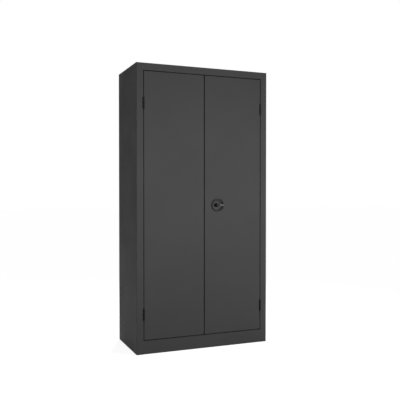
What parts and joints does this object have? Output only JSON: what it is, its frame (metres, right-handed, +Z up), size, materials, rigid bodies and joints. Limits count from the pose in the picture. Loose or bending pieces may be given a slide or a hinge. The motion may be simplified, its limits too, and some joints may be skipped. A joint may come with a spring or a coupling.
{
  "type": "tool cabinet with doors",
  "caption": "Tall steel tool cabinet: hinged double doors with a turn handle, rod lock and slide bolts, and adjustable shelves on slotted uprights.",
  "frame": {"origin": "centre of the bounding box in plan, on the floor", "axes": "+Z up; the doors face -Y; +X to the viewer's right when looking at the doors"},
  "size_m": [0.975, 0.482, 1.95],
  "materials": {
    "cabinet_paint": "fine-textured powder coat, dark grey",
    "inner_paint": "fine-textured powder coat, dark grey",
    "zinc_steel": "bright zinc plate",
    "hinge_steel": "black oxide",
    "black_plastic": "satin moulded plastic",
    "lock_chrome": "dull chrome plate",
    "rubber": "matt"
  },
  "bodies": {
    "cabinet": {"left_side_panel": "cabinet_paint", "right_side_panel": "cabinet_paint", "back_panel": "inner_paint", "roof_panel": "cabinet_paint", "header_rail": "cabinet_paint", "floor_panel": "inner_paint", "plinth_rail": "cabinet_paint", "rear_base_rail": "cabinet_paint", "base_gussets": "cabinet_paint", "front_left_upright": "inner_paint", "front_right_upright": "inner_paint", "rear_left_upright": "inner_paint", "rear_right_upright": "inner_paint", "shelf_1": "inner_paint", "shelf_2": "inner_paint", "shelf_3": "inner_paint", "shelf_4": "inner_paint", "shelf_clips": "zinc_steel", "door_buffers": "rubber", "left_upper_frame_leaf": "hinge_steel", "left_lower_frame_leaf": "hinge_steel", "right_upper_frame_leaf": "hinge_steel", "right_lower_frame_leaf": "hinge_steel", "hinge_pins": "hinge_steel"},
    "left_door": {"left_door": "cabinet_paint", "left_door_stiffener": "inner_paint", "left_upper_door_leaf": "hinge_steel", "left_lower_door_leaf": "hinge_steel", "upper_bolt_housing": "zinc_steel", "lower_bolt_housing": "zinc_steel"},
    "right_door": {"right_door": "cabinet_paint", "right_door_stiffener": "inner_paint", "right_upper_door_leaf": "hinge_steel", "right_lower_door_leaf": "hinge_steel", "rosette": "black_plastic", "rosette_retainer": "zinc_steel", "lock_case": "zinc_steel", "lock_studs": "zinc_steel", "lock_nuts": "zinc_steel", "rack_guides": "black_plastic", "upper_rod_guide": "black_plastic", "lower_rod_guide": "black_plastic"},
    "handle": {"turn_handle": "black_plastic", "lock_cylinder": "lock_chrome", "spindle": "zinc_steel", "drive_pinion": "zinc_steel", "latch_tongue": "zinc_steel", "tongue_washer": "zinc_steel", "tongue_screw": "zinc_steel"},
    "lock_plug": {"lock_plug": "lock_chrome"},
    "upper_rod": {"upper_rack": "zinc_steel", "upper_rod": "zinc_steel"},
    "lower_rod": {"lower_rack": "zinc_steel", "lower_rod": "zinc_steel"},
    "upper_bolt": {"upper_bolt": "zinc_steel"},
    "lower_bolt": {"lower_bolt": "zinc_steel"}
  },
  "joints": [
    {"name": "left_door_hinge", "type": "hinge", "parent": "cabinet", "child": "left_door", "pos_m": [-0.43775, -0.224, 1], "axis": [0, 0, -1], "range_deg": [0, 110]},
    {"name": "right_door_hinge", "type": "hinge", "parent": "cabinet", "child": "right_door", "pos_m": [0.43775, -0.224, 1], "axis": [0, 0, 1], "range_deg": [0, 110]},
    {"name": "handle_turn", "type": "hinge", "parent": "right_door", "child": "handle", "pos_m": [0.104, -0.224, 0.997], "axis": [0, 1, 0], "range_deg": [0, 90]},
    {"name": "lock_plug_turn", "type": "hinge", "parent": "handle", "child": "lock_plug", "pos_m": [0.104, -0.224, 0.997], "axis": [0, 1, 0], "range_deg": [0, 90]},
    {"name": "upper_rod_slide", "type": "slide", "parent": "right_door", "child": "upper_rod", "axis": [0, 0, 1], "range_m": [0, 0.0189]},
    {"name": "lower_rod_slide", "type": "slide", "parent": "right_door", "child": "lower_rod", "axis": [0, 0, -1], "range_m": [0, 0.0189]},
    {"name": "upper_bolt_slide", "type": "slide", "parent": "left_door", "child": "upper_bolt", "axis": [0, 0, 1], "range_m": [0, 0.016]},
    {"name": "lower_bolt_slide", "type": "slide", "parent": "left_door", "child": "lower_bolt", "axis": [0, 0, -1], "range_m": [0, 0.016]}
  ],
  "couplings": [
    {"joint": "upper_rod_slide", "follows": "handle_turn", "m_per_rad": 0.012},
    {"joint": "lower_rod_slide", "follows": "handle_turn", "m_per_rad": 0.012}
  ]
}
